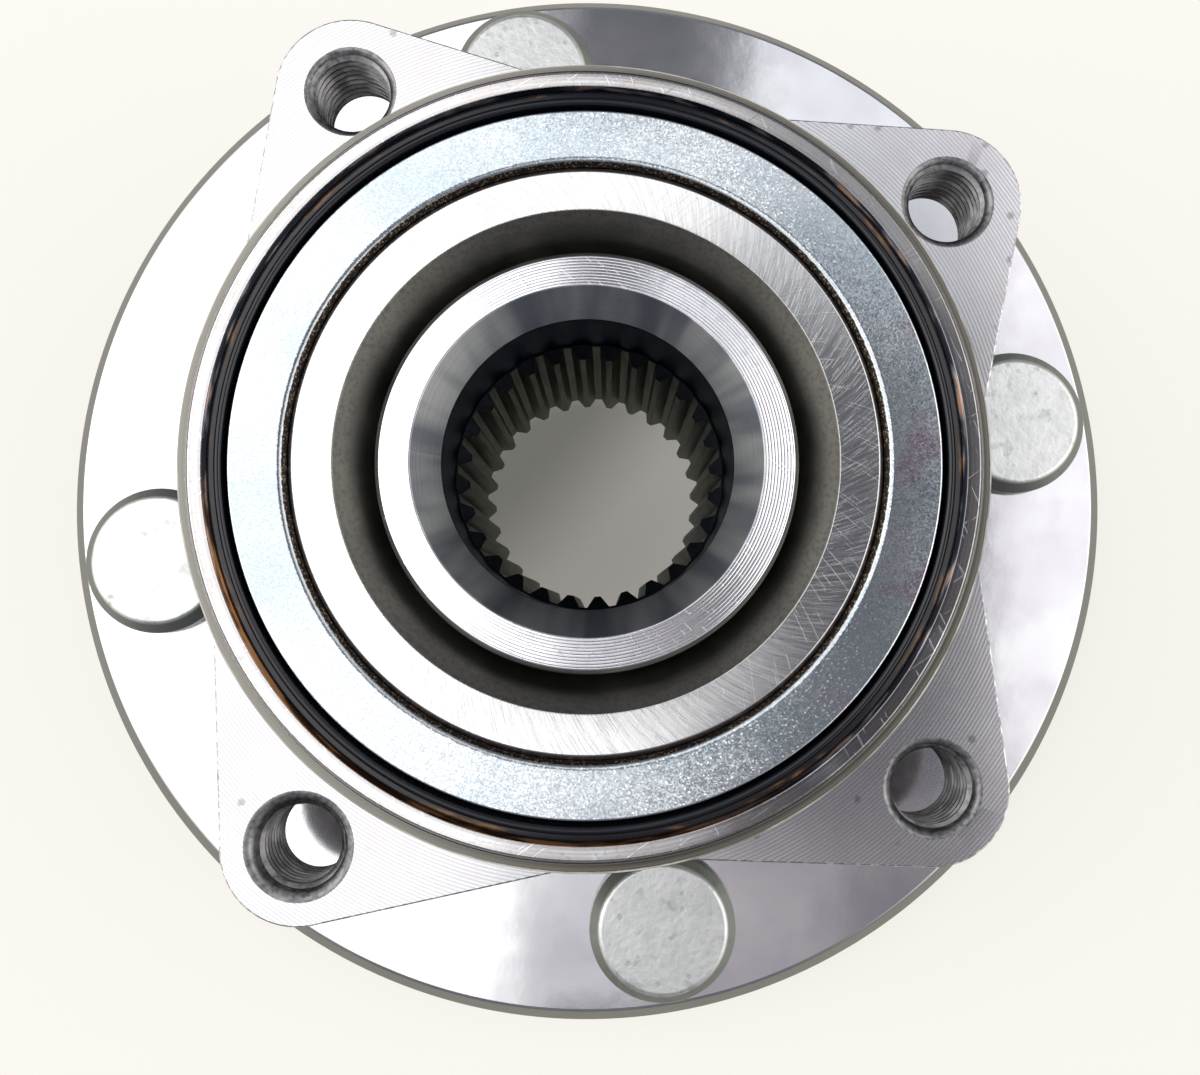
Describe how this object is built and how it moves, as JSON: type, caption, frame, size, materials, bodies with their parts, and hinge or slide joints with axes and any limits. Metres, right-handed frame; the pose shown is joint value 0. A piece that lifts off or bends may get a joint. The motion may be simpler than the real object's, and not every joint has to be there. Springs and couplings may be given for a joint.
{
  "type": "wheel hub bearing",
  "caption": "Flanged wheel hub unit with sealed ball bearing, splined axle bore, wheel studs and an eared outer ring that bolts to the knuckle.",
  "frame": {"origin": "on the hub axis, in the flange face that the brake disc and wheel seat on", "axes": "+Z along the hub axis, inboard towards the axle; +X towards the closer pair of threaded ears; Y across them"},
  "size_m": [0.138, 0.138, 0.0829],
  "materials": {
    "turned_forging": "turned and milled bearing steel, satin",
    "hub_forging": "fine turned forging, satin",
    "ground_bearing_steel": "ground face, satin sides",
    "zinc_plated_sheet": "spangled zinc plate",
    "seal_sheet": "cold rolled sheet",
    "black_rubber": "moulded, oily gloss",
    "cage_nylon": "moulded natural nylon",
    "zinc_plated_stud": "mottled zinc plate",
    "polished_ball_steel": "lapped"
  },
  "bodies": {
    "fixed_ring": {"outer_ring": "turned_forging", "inboard_seal_case": "seal_sheet", "inboard_seal_lip": "black_rubber", "outboard_seal_case": "seal_sheet", "outboard_seal_lip": "black_rubber"},
    "turning_hub": {"hub": "hub_forging", "inner_ring": "ground_bearing_steel", "inboard_slinger": "zinc_plated_sheet", "wheel_stud_1": "zinc_plated_stud", "wheel_stud_2": "zinc_plated_stud", "wheel_stud_3": "zinc_plated_stud", "wheel_stud_4": "zinc_plated_stud"},
    "inboard_ball_set": {"inboard_cage": "cage_nylon", "inboard_ball_01": "polished_ball_steel", "inboard_ball_02": "polished_ball_steel", "inboard_ball_03": "polished_ball_steel", "inboard_ball_04": "polished_ball_steel", "inboard_ball_05": "polished_ball_steel", "inboard_ball_06": "polished_ball_steel", "inboard_ball_07": "polished_ball_steel", "inboard_ball_08": "polished_ball_steel", "inboard_ball_09": "polished_ball_steel", "inboard_ball_10": "polished_ball_steel", "inboard_ball_11": "polished_ball_steel", "inboard_ball_12": "polished_ball_steel", "inboard_ball_13": "polished_ball_steel", "inboard_ball_14": "polished_ball_steel", "inboard_ball_15": "polished_ball_steel"},
    "outboard_ball_set": {"outboard_cage": "cage_nylon", "outboard_ball_01": "polished_ball_steel", "outboard_ball_02": "polished_ball_steel", "outboard_ball_03": "polished_ball_steel", "outboard_ball_04": "polished_ball_steel", "outboard_ball_05": "polished_ball_steel", "outboard_ball_06": "polished_ball_steel", "outboard_ball_07": "polished_ball_steel", "outboard_ball_08": "polished_ball_steel", "outboard_ball_09": "polished_ball_steel", "outboard_ball_10": "polished_ball_steel", "outboard_ball_11": "polished_ball_steel", "outboard_ball_12": "polished_ball_steel", "outboard_ball_13": "polished_ball_steel", "outboard_ball_14": "polished_ball_steel", "outboard_ball_15": "polished_ball_steel"}
  },
  "joints": [
    {"name": "hub_spin", "type": "hinge", "parent": "fixed_ring", "child": "turning_hub", "pos_m": [0, 0, 0.02935], "axis": [0, 0, 1], "continuous": true},
    {"name": "inboard_cage_spin", "type": "hinge", "parent": "fixed_ring", "child": "inboard_ball_set", "pos_m": [0, 0, 0.02935], "axis": [0, 0, 1], "continuous": true},
    {"name": "outboard_cage_spin", "type": "hinge", "parent": "fixed_ring", "child": "outboard_ball_set", "pos_m": [0, 0, 0.02935], "axis": [0, 0, 1], "continuous": true}
  ],
  "couplings": [
    {"joint": "inboard_cage_spin", "follows": "hub_spin", "ratio": 0.4359},
    {"joint": "outboard_cage_spin", "follows": "hub_spin", "ratio": 0.4359}
  ]
}
